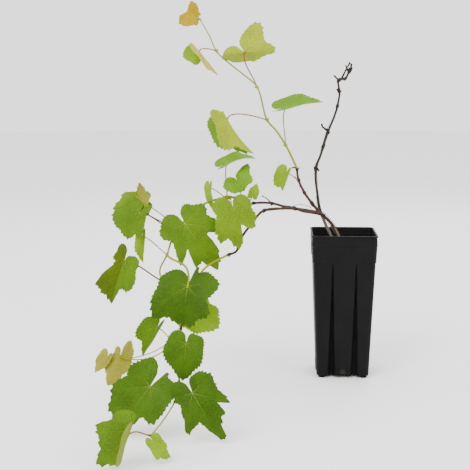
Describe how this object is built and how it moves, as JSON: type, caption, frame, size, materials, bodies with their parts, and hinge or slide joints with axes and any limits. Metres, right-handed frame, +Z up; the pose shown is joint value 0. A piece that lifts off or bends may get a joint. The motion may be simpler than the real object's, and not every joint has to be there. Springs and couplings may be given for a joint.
{
  "type": "potted grapevine",
  "caption": "Young grapevine with a forked woody stem, long upright and drooping leafy shoots and a bare dead cane, growing in a tall square nursery pot.",
  "frame": {"origin": "centre of the pot's flat underside, on the surface that it stands on", "axes": "+Z up, -Y towards the front, the side that the drooping shoots reach towards; the shoots lean towards -X"},
  "size_m": [0.3654, 0.474, 0.5159],
  "materials": {
    "pot_plastic": "charcoal black moulded plastic, semi-matt, with faint mould lines and scuffs",
    "potting_mix": "dark brown moist peat and bark crumbs, rough",
    "bark": "thin brown bark with fine lengthwise ridges and peeling grey strips",
    "dead_bark": "dull grey-brown dead bark with dark knots",
    "red_bark": "smooth reddish brown young bark",
    "leaf": "mid green leaf blade with paler veins, softly glossy",
    "pale_leaf": "pale yellow-green young leaf blade with paler underside"
  },
  "bodies": {
    "root": {"pot": "pot_plastic", "potting_mix": "potting_mix", "trunk": "bark", "bare_cane": "dead_bark", "upright_cane": "red_bark", "upper_side_cane": "bark", "lower_side_cane": "bark", "spur_leaf": "leaf", "upright_shoot_low": "pale_leaf", "upright_shoot_top": "pale_leaf", "side_shoot_near": "leaf", "side_shoot_far": "leaf", "side_shoot_tip": "leaf", "lower_shoot_near": "leaf", "lower_shoot_mid": "leaf", "lower_shoot_tip": "leaf"}
  },
  "joints": []
}
